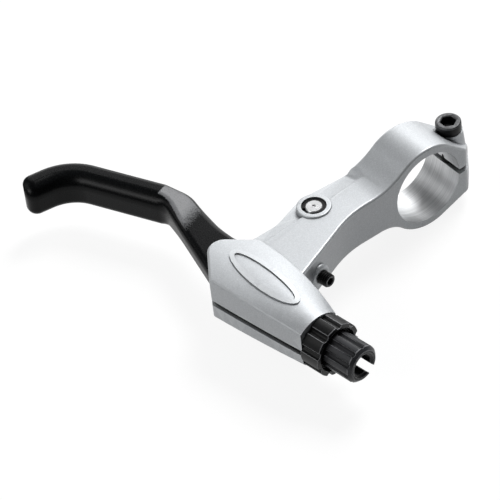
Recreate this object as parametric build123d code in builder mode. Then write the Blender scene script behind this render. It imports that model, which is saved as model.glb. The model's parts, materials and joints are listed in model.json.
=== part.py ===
"""Bicycle brake lever for the right hand: cast body with a bar clamp, pivoting blade and cable adjuster.

The origin is the centre of the handlebar bore. X runs inboard along the handlebar, -Y points
forward away from the rider, and Z is up, along the pivot pin. Millimetres and degrees.
"""
import os
from math import acos, asin, atan2, cos, degrees, pi, radians, sin, sqrt, tan

from build123d import *

os.makedirs("parts", exist_ok=True)

# Handlebar clamp
bar_diameter = 22.2
clamp_clearance = 0.1
clamp_wall = 2.4
clamp_width = 14.4
bore_chamfer = 0.35
slit_width = 1.8
slit_drop = 0.9
bore_radius = bar_diameter / 2 + clamp_clearance
clamp_radius = bore_radius + clamp_wall

# Pinch bolt, M5 with a 4 mm hexagon socket
bolt_radius = 2.5
bolt_hole_gap = 0.2
bolt_bar_gap = 0.15
bolt_head_radius = 3.7
bolt_head_height = 3.05
bolt_head_edge = 0.5
bolt_socket_flats = 4.0
bolt_socket_depth = 2.2
bolt_seat_height = 8.7
bolt_seat_margin = 0.5
bolt_tip_depth = 8.6
bolt_y = bore_radius + bolt_bar_gap + bolt_radius

# Ears behind the bar, one above and one below the slit
ear_round = 4.9
ear_fullness = 0.95
ear_corner_round = 2.0
ear_over = 1.0
ear_top = 0.6
ear_bottom = 7.6
ear_bottom_round = 3.0
ear_boss_radius = 4.7
ear_boss_draft = 5.0
ear_back = bolt_y + ear_round

# Arm from the clamp to the cable housing
arm_top = 7.2
arm_bottom = 6.2
arm_top_blend = 20.0
arm_bottom_blend = 10.0
arm_behind_cable = 9.6
arm_flare_start = 27.0
arm_flare_angle = 22.3
arm_flare_round = 30.0
arm_side_draft = 1.0
arm_edge_round = 0.8
arm_waist = 2.1
arm_waist_start = 11.5
arm_waist_round = 10.0
lug_run = 14.0
lug_round = 18.0
ledge_drop = 1.2
ledge_slope = 50.0
ledge_start = 17.0
ledge_rear = 1.6
ledge_front = 1.8

# Pivot
pivot_x = -2.0
pivot_y = -32.7
pin_radius = 2.5
pin_head_radius = 3.6
pin_head_height = 1.0
pin_recess = 0.15
pin_edge = 0.3
pin_dimple_radius = 0.55
pin_dimple_depth = 0.4
pin_head_gap = 0.05
pin_groove_depth = 0.4
boss_radius = 4.9
boss_height = 0.5
boss_edge = 0.35
lug_radius = 6.1
clip_seat_depth = 1.2
clip_seat_gap = 0.2
clip_thickness = 0.7
clip_width = 1.2
clip_gap = 0.05
clip_opening = 60.0
bushing_wall = 1.0
bushing_length = 3.0
bushing_clearance = 0.03
flange_width = 1.2
flange_thickness = 0.8
flange_proud = 0.2
cheek_gap = 0.1

# Cable line and housing, in the cable frame: pivot at the origin, x along the cable
cable_tilt = 8.0
cable_radius = 31.4
housing_end = 31.7
housing_edge_round = 0.8
cable_slot = 1.8
# Each row gives one measure at the mouth, the middle and the adjuster end of the housing
housing_stations = (-13.0, 14.0, housing_end)
housing_front = (8.5, 7.9, 7.1)
housing_crease = (8.8, 7.9, 6.7)
housing_crown = (9.3, 9.0, 8.4)
housing_rear = (11.3, 10.8, 6.2)
housing_rear_top = (7.9, 7.4, 5.1)
housing_low = (5.4, 4.9, 3.8)
housing_belly = (6.5, 6.8, 7.2)
nose_tip = 12.4
nose_behind_cable = 2.2
nose_angle = 42.5
nose_round = 4.8
hub_gap = 0.6
anchor_gap = 0.4
pocket_side_gap = 1.4
pocket_splay = 4.5
pocket_neck = 7.0
pocket_end = 19.0
pocket_rear = 2.5
pocket_round = 3.0

# Raised oval rim on the housing top
pad_length = 27.8
pad_width = 8.3
pad_rim = 1.6
pad_height = 0.45
pad_along = 10.5
pad_behind_cable = 1.45
pad_turn = -6.0

# Blade
web_thickness = 6.4
web_front_slope = 21.8
waist_x = -18.5
waist_rear = 18.6
waist_round = 30.0
neck_x = -10.2
neck_rear = 19.2
neck_round = 6.0
heel_drop = 14.0
elbow_x = -35.8
elbow_rear = 14.3
elbow_rear_round = 9.0
elbow_front_round = 6.0
ramp_start = 1.0
ramp_length = 11.0
ramp_crest_round = 3.0
ramp_foot_round = 25.0
blade_edge_round = 2.2
hub_radius = 6.0
anchor_radius = 5.3
nipple_radius = 3.6
nipple_slot = 2.0
finger_thickness = 6.2
finger_height = 11.8
finger_angle = 18.0
finger_start_x = -40.5
finger_start_y = -20.4
finger_length = 22.0
hook_radius = 13.5
hook_turn = 56.0
tip_length = 6.8
tip_round = 2.9

# Reach screw, M4
reach_radius = 2.0
reach_gap = 0.05
reach_station = 13.6
reach_end = 18.4
reach_boss_radius = 3.4
reach_boss_end = 15.3
reach_boss_round = 1.2
reach_socket_flats = 2.0
reach_socket_depth = 2.0
reach_edge = 0.3
reach_tip_gap = 0.1

# Barrel adjuster and lock ring, M10
thread_radius = 4.5
thread_gap = 0.05
thread_length = 9.0
ring_radius = 7.8
ring_length = 6.2
ring_lobes = 9
ring_groove_radius = 1.0
ring_groove_depth = 0.9
ring_recess_radius = 6.4
ring_recess_depth = 2.2
ring_seat_gap = 0.05
grip_radius = 5.45
grip_length = 9.4
grip_flutes = 10
grip_turn = 7.0
grip_flute_radius = 0.75
grip_collar = 1.6
grip_edge = 1.0
grip_seat_gap = 0.1
ferrule_radius = 3.05
ferrule_depth = 8.0
ferrule_mouth = 0.7
cable_hole_radius = 1.2
barrel_slot = 2.4
barrel_slot_angle = -51.0

# Places that follow from the sizes above
arm_end = cable_radius - pivot_y - arm_behind_cable
web_half = web_thickness / 2
pocket_half = web_half + flange_proud + cheek_gap
bushing_bore = pin_radius + bushing_clearance
bushing_radius = bushing_bore + bushing_wall
boss_top = arm_top + boss_height
clip_seat = boss_top - clip_seat_depth
clip_bore = pin_radius - pin_groove_depth + clip_gap
clip_radius = clip_bore + clip_width
flange_radius = bushing_radius + flange_width
heel_at_reach = hub_radius + (anchor_radius - hub_radius) * reach_station / cable_radius
ring_start = housing_end + ring_seat_gap
ring_end = ring_start + ring_length
grip_start = ring_end - ring_recess_depth + grip_seat_gap
grip_end = ring_end + grip_length
pin_axis = Axis((pivot_x, pivot_y, 0), (0, 0, 1))
pin_section = Plane(origin=(pivot_x, pivot_y, 0), x_dir=(1, 0, 0), z_dir=(0, -1, 0))
cable_frame = Plane(
    origin=(pivot_x, pivot_y, 0),
    x_dir=(cos(radians(cable_tilt)), sin(radians(cable_tilt)), 0),
    z_dir=(0, 0, 1),
)
barrel_section = Plane(
    origin=cable_frame.from_local_coords((0, -cable_radius, 0)),
    x_dir=cable_frame.x_dir,
    z_dir=cable_frame.z_dir,
)
cable_axis = Axis(barrel_section.origin, cable_frame.x_dir)


def station(along, behind_pivot=-cable_radius):
    """Plane across the cable at a distance along it: local x points to the rear, local y up."""
    return Plane(
        origin=cable_frame.from_local_coords((along, behind_pivot, 0)),
        x_dir=cable_frame.y_dir,
        z_dir=cable_frame.x_dir,
    )


def ray_end(start, angle, distance):
    """The point at a distance from start in a direction given in degrees."""
    return (start[0] + distance * cos(radians(angle)), start[1] + distance * sin(radians(angle)))


def ring_tangent(corner):
    """Where a line from an outside corner of the ears touches the clamp ring."""
    reach = sqrt(corner[0] ** 2 + corner[1] ** 2)
    turn = acos(clamp_radius / reach) if corner[1] > 0 else -acos(clamp_radius / reach)
    angle = atan2(corner[1], corner[0]) + turn
    return (clamp_radius * cos(angle), clamp_radius * sin(angle))


def arm_plan(inset):
    """Plan of clamp and arm; the inset moves the flared inboard side outboard."""
    half = clamp_width / 2
    plan_end = arm_end + clamp_width
    spread = tan(radians(arm_flare_angle))
    flare_start = arm_flare_start + inset / spread
    lug_edge = pivot_x - lug_radius
    waist_edge = pivot_x - arm_waist
    ear_end = ear_round * tan(pi / 4 - acos(ear_round / half) / 2)
    corners = {
        (half, bolt_y): ear_corner_round,
        (ear_end, ear_back): ear_fullness * ear_round,
        (-ear_end, ear_back): ear_fullness * ear_round,
        (-half, bolt_y): ear_corner_round,
        (-half, pivot_y + lug_run): lug_round,
        (lug_edge, pivot_y): lug_radius,
        (waist_edge, pivot_y - arm_waist_start): arm_waist_round,
        (waist_edge, -plan_end): 0,
        (half + (plan_end - flare_start) * spread, -plan_end): 0,
        (half, -flare_start): arm_flare_round,
    }
    return FilletPolyline(*corners.keys(), radius=list(corners.values()), close=True)


def runs_along_arm(edge):
    """True for the long edges between the arm's top or bottom and its sides."""
    least_run = 0.12
    most_climb = 0.9
    heading = edge.tangent_at(0.5)
    clear_of_end = edge.center().Y > arm_edge_round - arm_end
    return abs(heading.Y) > least_run and abs(heading.Z) < most_climb and clear_of_end


def housing_section(index, lift):
    """Section of the housing at one station, with its top raised by lift."""
    front = -housing_front[index]
    rear = housing_rear[index]
    low = -housing_low[index]
    with BuildSketch(station(housing_stations[index])) as section:
        with BuildLine():
            crease = (front, housing_crease[index] + lift)
            crown = ((front + rear) / 2, housing_crown[index] + lift)
            rear_top = (rear, housing_rear_top[index] + lift)
            Line((front, low), crease)
            ThreePointArc(crease, crown, rear_top)
            Line(rear_top, (rear, low))
            ThreePointArc((rear, low), (0, -housing_belly[index]), (front, low))
        make_face()
    return section.sketch


def is_housing_corner(edge):
    """True for the housing's edges, apart from its adjuster end and the seams beside the nose."""
    along = cable_frame.to_local_coords(edge.center()).X
    return edge.geom_type != GeomType.LINE and along < housing_end - housing_edge_round


def crossing(first, first_angle, second, second_angle):
    """Where a line through one point crosses a line through another, each with its direction."""
    ahead = (cos(radians(first_angle)), sin(radians(first_angle)))
    across = (cos(radians(second_angle)), sin(radians(second_angle)))
    gap = (second[0] - first[0], second[1] - first[1])
    run = (gap[0] * across[1] - gap[1] * across[0]) / (ahead[0] * across[1] - ahead[1] * across[0])
    return (first[0] + run * ahead[0], first[1] + run * ahead[1])


def is_blade_rim(edge):
    """True for the edges where the blade's sides meet its top and bottom."""
    return abs(edge.tangent_at(0.5).Z) < 0.5 and abs(edge.center().Z) > web_half / 2


# Clamp and arm: a side profile cut to the plan outline, with a drafted inboard flank
with BuildPart() as arm:
    with BuildSketch(Plane.YZ) as side:
        Circle(clamp_radius)
        with BuildLine():
            upper = (ear_back + ear_over, ear_top)
            lower = (ear_back + ear_over, -ear_bottom)
            Polyline((0, 0), ring_tangent(upper), upper, lower, ring_tangent(lower), close=True)
        make_face()
        with Locations((-arm_end / 2, (arm_top - arm_bottom) / 2)):
            Rectangle(arm_end, arm_top + arm_bottom)
        blends = {
            (-sqrt(clamp_radius**2 - arm_top**2), arm_top): arm_top_blend,
            (-sqrt(clamp_radius**2 - arm_bottom**2), -arm_bottom): arm_bottom_blend,
            lower: ear_bottom_round,
        }
        for corner, radius in blends.items():
            fillet(side.vertices().sort_by_distance(corner)[0], radius)
    extrude(amount=arm_end, both=True)
    draft = arm_side_draft / (arm_top + arm_bottom)
    for height in (-clamp_radius, clamp_radius):
        with BuildSketch(Plane.XY.offset(height)):
            with BuildLine():
                arm_plan(draft * (arm_top - height))
            make_face()
    loft(ruled=True, mode=Mode.INTERSECT)
    fillet(arm.edges().filter_by(runs_along_arm), arm_edge_round)
    # Lower ledge along the outboard side of the top
    with BuildSketch(Plane.XY.offset(arm_top - ledge_drop)):
        with BuildLine():
            Polyline(
                (pivot_x + ledge_front, -arm_end - clamp_width),
                (pivot_x - ledge_rear, -ledge_start),
                (-arm_end, -ledge_start),
                (-arm_end, -arm_end - clamp_width),
                close=True,
            )
        make_face()
    extrude(amount=clamp_radius, taper=-ledge_slope, mode=Mode.SUBTRACT)

# Round boss under the pinch bolt's head
with BuildPart() as bolt_boss:
    with BuildSketch():
        with Locations((0, bolt_y)):
            Circle(ear_boss_radius)
    extrude(amount=bolt_seat_height, taper=ear_boss_draft)

# Round boss that carries the pin's upper end
with BuildPart() as pivot_boss:
    with BuildSketch():
        with Locations((pivot_x, pivot_y)):
            Circle(boss_radius)
    extrude(amount=boss_top)
    fillet(pivot_boss.faces().sort_by(Axis.Z)[-1].edges(), boss_edge)

# Cable housing: a smooth loft along the cable, trimmed in plan to its pointed mouth
with BuildPart() as housing:
    loft([housing_section(index, 0) for index in range(len(housing_stations))])
    with BuildSketch(cable_frame):
        with BuildLine():
            nose = (-nose_tip, nose_behind_cable - cable_radius)
            front = ray_end(nose, -nose_angle, housing_end)
            rear = ray_end(nose, nose_angle, housing_end)
            FilletPolyline(
                nose,
                front,
                (2 * housing_end, front[1]),
                (2 * housing_end, rear[1]),
                rear,
                radius=[nose_round, 0, 0, 0, 0],
                close=True,
            )
        make_face()
    extrude(amount=2 * clamp_radius, both=True, mode=Mode.INTERSECT)
    fillet(housing.edges().filter_by(is_housing_corner), housing_edge_round)

# Raised oval rim that follows the housing's top
with BuildPart() as oval_rim:
    loft([housing_section(index, pad_height) for index in range(len(housing_stations))])
    with BuildSketch(cable_frame):
        with Locations((pad_along, pad_behind_cable - cable_radius)):
            Ellipse(pad_length / 2, pad_width / 2, rotation=pad_turn)
            Ellipse(
                pad_length / 2 - pad_rim, pad_width / 2 - pad_rim, rotation=pad_turn, mode=Mode.SUBTRACT
            )
    extrude(amount=2 * clamp_radius, mode=Mode.INTERSECT)

# Boss that carries the reach screw
with BuildPart() as reach_boss:
    with BuildSketch(station(0, -reach_station)):
        Circle(reach_boss_radius)
    extrude(amount=reach_boss_end)
    fillet(reach_boss.faces().sort_by(Axis((0, 0, 0), cable_frame.x_dir))[-1].edges(), reach_boss_round)

# Body, cast in one piece and then bored, slit and drilled
with BuildPart() as lever_body:
    add(arm.part)
    add(bolt_boss.part)
    add(pivot_boss.part)
    add(housing.part)
    add(oval_rim.part)
    add(reach_boss.part)
    # Pocket that the blade swings in, open towards the fingers
    with BuildSketch(cable_frame):
        with BuildLine():
            pocket_front = -cable_radius - anchor_radius - anchor_gap
            pocket_turn = pocket_neck - cable_radius
            corners = {
                (-housing_end, pocket_rear): 0,
                (hub_radius + pocket_side_gap, pocket_rear): pocket_round,
                (hub_radius + pocket_splay, pocket_turn): pocket_round,
                (pocket_end, pocket_turn): pocket_round,
                (pocket_end, pocket_front): pocket_round,
                (-housing_end, pocket_front): 0,
            }
            FilletPolyline(*corners.keys(), radius=list(corners.values()), close=True)
        make_face()
        Circle(hub_radius + hub_gap)
    extrude(amount=pocket_half, both=True, mode=Mode.SUBTRACT)
    # Slot that lets the cable in from the front
    with BuildSketch(cable_frame):
        with Locations((0, -cable_radius)):
            Rectangle(3 * housing_end, cable_radius, align=(Align.CENTER, Align.MAX))
    extrude(amount=cable_slot / 2, both=True, mode=Mode.SUBTRACT)
    # Hole for the adjuster
    with BuildSketch(station(pocket_end - pocket_round)):
        Circle(thread_radius + thread_gap)
    extrude(amount=housing_end, mode=Mode.SUBTRACT)
    # Hole for the reach screw
    with BuildSketch(station(0, -reach_station)):
        Circle(reach_radius + reach_gap)
    extrude(amount=housing_end, mode=Mode.SUBTRACT)
    # Bore for the handlebar
    with BuildSketch(Plane.YZ):
        Circle(bore_radius)
    extrude(amount=clamp_width, both=True, mode=Mode.SUBTRACT)
    bore_rims = lever_body.edges().filter_by(GeomType.CIRCLE)
    chamfer(bore_rims.filter_by(lambda rim: abs(rim.radius - bore_radius) < bore_chamfer), bore_chamfer)
    # Slit between the ears
    with BuildSketch(Plane.YZ):
        with Locations((0, -slit_drop)):
            Rectangle(2 * ear_back, slit_width, align=(Align.MIN, Align.CENTER))
    extrude(amount=clamp_width, both=True, mode=Mode.SUBTRACT)
    # Bolt hole, wider in the upper ear, and a flat seat for the head
    with BuildSketch():
        with Locations((0, bolt_y)):
            Circle(bolt_radius)
    extrude(amount=2 * clamp_radius, both=True, mode=Mode.SUBTRACT)
    with BuildSketch(Plane.XY.offset(-slit_drop)):
        with Locations((0, bolt_y)):
            Circle(bolt_radius + bolt_hole_gap)
    extrude(amount=2 * clamp_radius, mode=Mode.SUBTRACT)
    with BuildSketch(Plane.XY.offset(bolt_seat_height)):
        with Locations((0, bolt_y)):
            Circle(bolt_head_radius + bolt_seat_margin)
    extrude(amount=clamp_radius, mode=Mode.SUBTRACT)
    # Pin hole, with seats for the clip and the pin's head
    with BuildSketch():
        with Locations((pivot_x, pivot_y)):
            Circle(pin_radius)
    extrude(amount=clamp_radius, both=True, mode=Mode.SUBTRACT)
    with BuildSketch(Plane.XY.offset(clip_seat)):
        with Locations((pivot_x, pivot_y)):
            Circle(clip_radius + clip_seat_gap)
    extrude(amount=clamp_radius, mode=Mode.SUBTRACT)
    with BuildSketch(Plane.XY.offset(pin_head_height - arm_bottom)):
        with Locations((pivot_x, pivot_y)):
            Circle(pin_head_radius + pin_head_gap)
    extrude(amount=-clamp_radius, mode=Mode.SUBTRACT)
lever_body.part.label = "lever_body"
export_step(lever_body.part, "parts/lever_body.step")

# Blade: one outline in plan, tall at the fingers and ramped down to a flat web with hub and cable anchor
with BuildPart() as lever_blade:
    finger_heading = 180 + finger_angle
    finger_start = (finger_start_x, finger_start_y)
    finger_half = finger_thickness / 2
    tip_heading = finger_heading + hook_turn
    with BuildSketch(cable_frame):
        with BuildLine():
            hook_run = hook_radius * tan(radians(hook_turn / 2))
            hook_corner = ray_end(finger_start, finger_heading, finger_length + hook_run)
            hook_lean = finger_half / cos(radians(hook_turn / 2))
            hook_side = finger_heading + hook_turn / 2 + 90
            tip_end = ray_end(hook_corner, tip_heading, hook_run + tip_length)
            anchor_place = (0, -cable_radius)
            heel_lean = -degrees(asin((hub_radius - anchor_radius) / cable_radius))
            front_root = ray_end(anchor_place, 270 - web_front_slope, anchor_radius)
            front_side = ray_end(finger_start, finger_heading + 90, finger_half)
            rear_side = ray_end(finger_start, finger_heading - 90, finger_half)
            waist = (waist_x, -waist_rear)
            waist_heading = degrees(atan2(waist_rear - elbow_rear, elbow_x - waist_x))
            corners = {
                ray_end((0, 0), heel_lean, hub_radius): 0,
                ray_end(anchor_place, heel_lean, anchor_radius): 0,
                front_root: 0,
                crossing(front_side, finger_heading, front_root, -web_front_slope): elbow_front_round,
                ray_end(hook_corner, hook_side, hook_lean): hook_radius - finger_half,
                ray_end(tip_end, tip_heading + 90, finger_half): tip_round,
                ray_end(tip_end, tip_heading - 90, finger_half): tip_round,
                ray_end(hook_corner, hook_side, -hook_lean): hook_radius + finger_half,
                crossing(rear_side, finger_heading, waist, waist_heading): elbow_rear_round,
                waist: waist_round,
                (neck_x, -neck_rear): neck_round,
                (-hub_radius, -heel_drop): neck_round,
                (-hub_radius, 0): 0,
            }
            FilletPolyline(*corners.keys(), radius=list(corners.values()), close=True)
        make_face()
        Circle(hub_radius)
        with Locations(anchor_place):
            Circle(anchor_radius)
    extrude(amount=finger_height / 2, both=True)
    # Ramp from the finger bar down to the web, above and below
    ramp_turn = radians(finger_angle + cable_tilt)
    ramp_section = Plane(
        origin=cable_frame.from_local_coords((*finger_start, 0)),
        x_dir=(cos(ramp_turn), sin(ramp_turn), 0),
        z_dir=(sin(ramp_turn), -cos(ramp_turn), 0),
    )
    for side in (1, -1):
        with BuildSketch(ramp_section):
            with BuildLine():
                crest = side * finger_height / 2
                clear = side * finger_height
                corners = {
                    (ramp_start - finger_thickness, clear): 0,
                    (ramp_start - finger_thickness, crest): 0,
                    (ramp_start, crest): ramp_crest_round,
                    (ramp_start + ramp_length, side * web_half): ramp_foot_round,
                    (3 * cable_radius, side * web_half): 0,
                    (3 * cable_radius, clear): 0,
                }
                FilletPolyline(*corners.keys(), radius=list(corners.values()), close=True)
            make_face()
        extrude(amount=3 * cable_radius, both=True, mode=Mode.SUBTRACT)
    fillet(lever_blade.edges().filter_by(is_blade_rim), blade_edge_round)
    # Bushing seats, cable anchor and its slot
    with BuildSketch(cable_frame):
        Circle(bushing_radius)
    extrude(amount=web_thickness, both=True, mode=Mode.SUBTRACT)
    flange_seat = web_half + flange_proud - flange_thickness
    for side in (1, -1):
        with BuildSketch(cable_frame.offset(side * flange_seat)):
            Circle(flange_radius)
        extrude(amount=side * web_thickness, mode=Mode.SUBTRACT)
    with BuildSketch(cable_frame):
        with Locations(anchor_place):
            Circle(nipple_radius)
    extrude(amount=web_thickness, both=True, mode=Mode.SUBTRACT)
    with BuildSketch(cable_frame):
        with Locations((0, nipple_slot / 2 - cable_radius)):
            Rectangle(2 * anchor_radius, 3 * anchor_radius, align=(Align.MIN, Align.MAX))
    extrude(amount=nipple_slot / 2, both=True, mode=Mode.SUBTRACT)
lever_blade.part.label = "lever_blade"
export_step(lever_blade.part, "parts/lever_blade.step")

# Flanged bushings, one from each side of the blade's hub
with BuildPart() as pivot_bushing_upper:
    with BuildSketch(pin_section):
        with BuildLine():
            flange_top = web_half + flange_proud
            Polyline(
                (bushing_bore, flange_top),
                (flange_radius, flange_top),
                (flange_radius, flange_top - flange_thickness),
                (bushing_radius, flange_top - flange_thickness),
                (bushing_radius, flange_top - bushing_length),
                (bushing_bore, flange_top - bushing_length),
                close=True,
            )
        make_face()
    revolve(axis=pin_axis)
pivot_bushing_upper.part.label = "pivot_bushing_upper"
export_step(pivot_bushing_upper.part, "parts/pivot_bushing_upper.step")

with BuildPart() as pivot_bushing_lower:
    mirror(pivot_bushing_upper.part, about=Plane.XY)
pivot_bushing_lower.part.label = "pivot_bushing_lower"
export_step(pivot_bushing_lower.part, "parts/pivot_bushing_lower.step")

# Pivot pin: head below, clip groove and a centre mark above
with BuildPart() as pivot_pin:
    with BuildSketch(pin_section):
        with BuildLine():
            pin_end = boss_top - pin_recess
            groove_radius = pin_radius - pin_groove_depth
            groove_end = clip_seat + clip_thickness + 2 * clip_gap
            Polyline(
                (0, -arm_bottom),
                (pin_head_radius, -arm_bottom),
                (pin_head_radius, pin_head_height - arm_bottom),
                (pin_radius, pin_head_height - arm_bottom),
                (pin_radius, clip_seat),
                (groove_radius, clip_seat),
                (groove_radius, groove_end),
                (pin_radius, groove_end),
                (pin_radius, pin_end - pin_edge),
                (pin_radius - pin_edge, pin_end),
                (pin_dimple_radius, pin_end),
                (0, pin_end - pin_dimple_depth),
                close=True,
            )
        make_face()
    revolve(axis=pin_axis)
pivot_pin.part.label = "pivot_pin"
export_step(pivot_pin.part, "parts/pivot_pin.step")

# Spring clip in the pin's groove
with BuildPart() as pivot_clip:
    with BuildSketch(Plane.XY.offset(clip_seat + clip_gap)):
        with Locations((pivot_x, pivot_y)):
            Circle(clip_radius)
            Circle(clip_bore, mode=Mode.SUBTRACT)
        with BuildLine():
            mouth = (pivot_x, pivot_y)
            reach = 2 * clip_radius
            Polyline(
                mouth,
                ray_end(mouth, -90 - clip_opening / 2, reach),
                ray_end(mouth, -90 + clip_opening / 2, reach),
                close=True,
            )
        make_face(mode=Mode.SUBTRACT)
    extrude(amount=clip_thickness)
pivot_clip.part.label = "pivot_clip"
export_step(pivot_clip.part, "parts/pivot_clip.step")

# Pinch bolt with a hexagon socket
with BuildPart() as clamp_bolt:
    with BuildSketch(Plane.XY.offset(bolt_seat_height)):
        with Locations((0, bolt_y)):
            Circle(bolt_head_radius)
    extrude(amount=bolt_head_height)
    fillet(clamp_bolt.faces().sort_by(Axis.Z)[-1].edges(), bolt_head_edge)
    with BuildSketch(Plane.XY.offset(-bolt_tip_depth)):
        with Locations((0, bolt_y)):
            Circle(bolt_radius)
    extrude(amount=bolt_tip_depth + bolt_seat_height)
    with BuildSketch(Plane.XY.offset(bolt_seat_height + bolt_head_height)):
        with Locations((0, bolt_y)):
            RegularPolygon(bolt_socket_flats / 2, 6, major_radius=False)
    extrude(amount=-bolt_socket_depth, mode=Mode.SUBTRACT)
clamp_bolt.part.label = "clamp_bolt"
export_step(clamp_bolt.part, "parts/clamp_bolt.step")

# Reach screw: its tip stops the blade
with BuildPart() as reach_screw:
    reach_tip = heel_at_reach + reach_tip_gap
    with BuildSketch(station(reach_tip, -reach_station)):
        Circle(reach_radius)
    extrude(amount=reach_end - reach_tip)
    chamfer(reach_screw.edges().filter_by(GeomType.CIRCLE), reach_edge)
    with BuildSketch(station(reach_end, -reach_station)):
        RegularPolygon(reach_socket_flats / 2, 6, major_radius=False)
    extrude(amount=-reach_socket_depth, mode=Mode.SUBTRACT)
reach_screw.part.label = "reach_screw"
export_step(reach_screw.part, "parts/reach_screw.step")

# Lock ring: a lobed nut with a recess that the grip sits in
with BuildPart() as lock_ring:
    with BuildSketch(station(ring_start)):
        Circle(ring_radius)
        groove_place = ring_radius + ring_groove_radius - ring_groove_depth
        with PolarLocations(groove_place, ring_lobes):
            Circle(ring_groove_radius, mode=Mode.SUBTRACT)
        Circle(thread_radius + thread_gap, mode=Mode.SUBTRACT)
    extrude(amount=ring_length)
    with BuildSketch(station(ring_end)):
        Circle(ring_recess_radius)
    extrude(amount=-ring_recess_depth, mode=Mode.SUBTRACT)
lock_ring.part.label = "lock_ring"
export_step(lock_ring.part, "parts/lock_ring.step")

# Barrel adjuster: hollow screw with a fluted grip, slotted along one side
with BuildPart() as barrel_adjuster:
    with BuildSketch(barrel_section):
        with BuildLine():
            stem_start = housing_end - thread_length
            Polyline(
                (stem_start, cable_hole_radius),
                (stem_start, thread_radius),
                (grip_start, thread_radius),
                (grip_start, grip_radius),
                (grip_end - grip_edge, grip_radius),
                (grip_end, grip_radius - grip_edge),
                (grip_end, ferrule_radius + ferrule_mouth),
                (grip_end - ferrule_mouth, ferrule_radius),
                (grip_end - ferrule_depth, ferrule_radius),
                (grip_end - ferrule_depth, cable_hole_radius),
                close=True,
            )
        make_face()
    revolve(axis=cable_axis)
    # Flutes with a round end at the collar
    with BuildSketch(station(grip_end - grip_collar)):
        with PolarLocations(grip_radius, grip_flutes, start_angle=grip_turn):
            Circle(grip_flute_radius)
    extrude(amount=grip_start - grip_end, mode=Mode.SUBTRACT)
    with Locations(station(grip_end - grip_collar)):
        with PolarLocations(grip_radius, grip_flutes, start_angle=grip_turn):
            Sphere(grip_flute_radius, mode=Mode.SUBTRACT)
    # Slot that lets the cable in from the side
    with BuildSketch(station(grip_end)):
        with Locations(Location((0, 0, 0), (0, 0, barrel_slot_angle))):
            Rectangle(2 * grip_radius, barrel_slot, align=(Align.MIN, Align.CENTER))
    extrude(amount=-2 * housing_end, mode=Mode.SUBTRACT)
barrel_adjuster.part.label = "barrel_adjuster"
export_step(barrel_adjuster.part, "parts/barrel_adjuster.step")
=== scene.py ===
"""Dresses the packed brake lever: silver casting, black blade, steel hardware and moulded adjuster.

Lengths are metres in the frame of the packed model: X along the handlebar bore, Z along the pivot pin.
"""
import json
from math import cos, pi, radians, sin, tan, tau

import bmesh
import bpy
from bpy.props import FloatProperty, FloatVectorProperty, IntProperty, PointerProperty
from mathutils import Matrix, Vector


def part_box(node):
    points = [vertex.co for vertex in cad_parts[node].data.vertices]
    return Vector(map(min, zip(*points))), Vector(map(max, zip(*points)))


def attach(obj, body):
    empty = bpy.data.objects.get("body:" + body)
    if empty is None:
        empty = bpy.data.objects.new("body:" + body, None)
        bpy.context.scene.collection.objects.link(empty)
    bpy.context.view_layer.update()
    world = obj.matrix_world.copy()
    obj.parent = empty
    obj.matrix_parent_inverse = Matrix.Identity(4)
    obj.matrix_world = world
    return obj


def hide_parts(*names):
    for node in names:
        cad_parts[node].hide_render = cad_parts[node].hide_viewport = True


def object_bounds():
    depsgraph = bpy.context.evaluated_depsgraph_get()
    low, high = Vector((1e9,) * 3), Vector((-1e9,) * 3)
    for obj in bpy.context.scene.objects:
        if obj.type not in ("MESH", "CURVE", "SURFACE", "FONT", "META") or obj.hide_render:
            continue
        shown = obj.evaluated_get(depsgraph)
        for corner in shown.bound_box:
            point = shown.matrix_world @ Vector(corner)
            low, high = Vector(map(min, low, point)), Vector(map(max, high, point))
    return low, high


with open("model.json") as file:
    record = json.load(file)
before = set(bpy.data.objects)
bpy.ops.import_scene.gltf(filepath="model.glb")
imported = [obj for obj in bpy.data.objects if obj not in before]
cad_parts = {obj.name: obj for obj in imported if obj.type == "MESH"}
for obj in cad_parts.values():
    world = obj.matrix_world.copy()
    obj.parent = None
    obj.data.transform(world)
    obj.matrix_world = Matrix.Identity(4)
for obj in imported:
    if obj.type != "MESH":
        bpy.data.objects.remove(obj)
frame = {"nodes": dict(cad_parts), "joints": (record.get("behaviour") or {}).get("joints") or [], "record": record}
CAD_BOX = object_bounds()
MOUNTS = {mount["name"]: mount for mount in frame["record"]["mounts"]}
JOINTS = {joint["name"]: joint for joint in frame["joints"]}

bl_info = {
    "name": "Brake Lever Finish",
    "version": (1, 0, 0),
    "blender": (4, 5, 0),
    "location": "View3D > Sidebar > Lever",
    "description": "Gives the packed brake lever its surfaces, threads, light and camera",
    "category": "Object",
}

MM = 0.001
UP = Vector((0.0, 0.0, 1.0))
WHITE = (1.0, 1.0, 1.0, 1.0)

# Meshes: points nearer than MERGE become one, and edges that bend by more than a crease stay sharp
MERGE = 0.002 * MM
CAST_CREASE = radians(42)
TURNED_CREASE = radians(30)
SCREW_CREASE = radians(50)
MOULDED_CREASE = radians(32)

# How much a face's area counts where its shading meets its neighbour's; 100 is the most
FACE_WEIGHT = 100

# How the bore's wall, the blade's ramps and a rounded outer edge are told from their neighbours
BORE_TOLERANCE = 0.3 * MM
RAMP_TILT = (radians(11), radians(16))
SMALLEST_BEND = radians(4)

# Mouldings: faces that bend by less than FLAT_BEND are one, and edges past MOULDED_BEND are rounded
FLAT_BEND = radians(0.5)
MOULDED_BEND = radians(30)
MOULDED_STEPS = 2

# Screws: level share of a thread at its crest, and again at its root; steps of a head's edge, and its share of the
# paler edge colour, worn and a painted highlight
LEVEL_SHARE = 0.12
HEAD_STEPS = 4
HEAD_WORN_AND_HIGHLIT = 0.8
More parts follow.
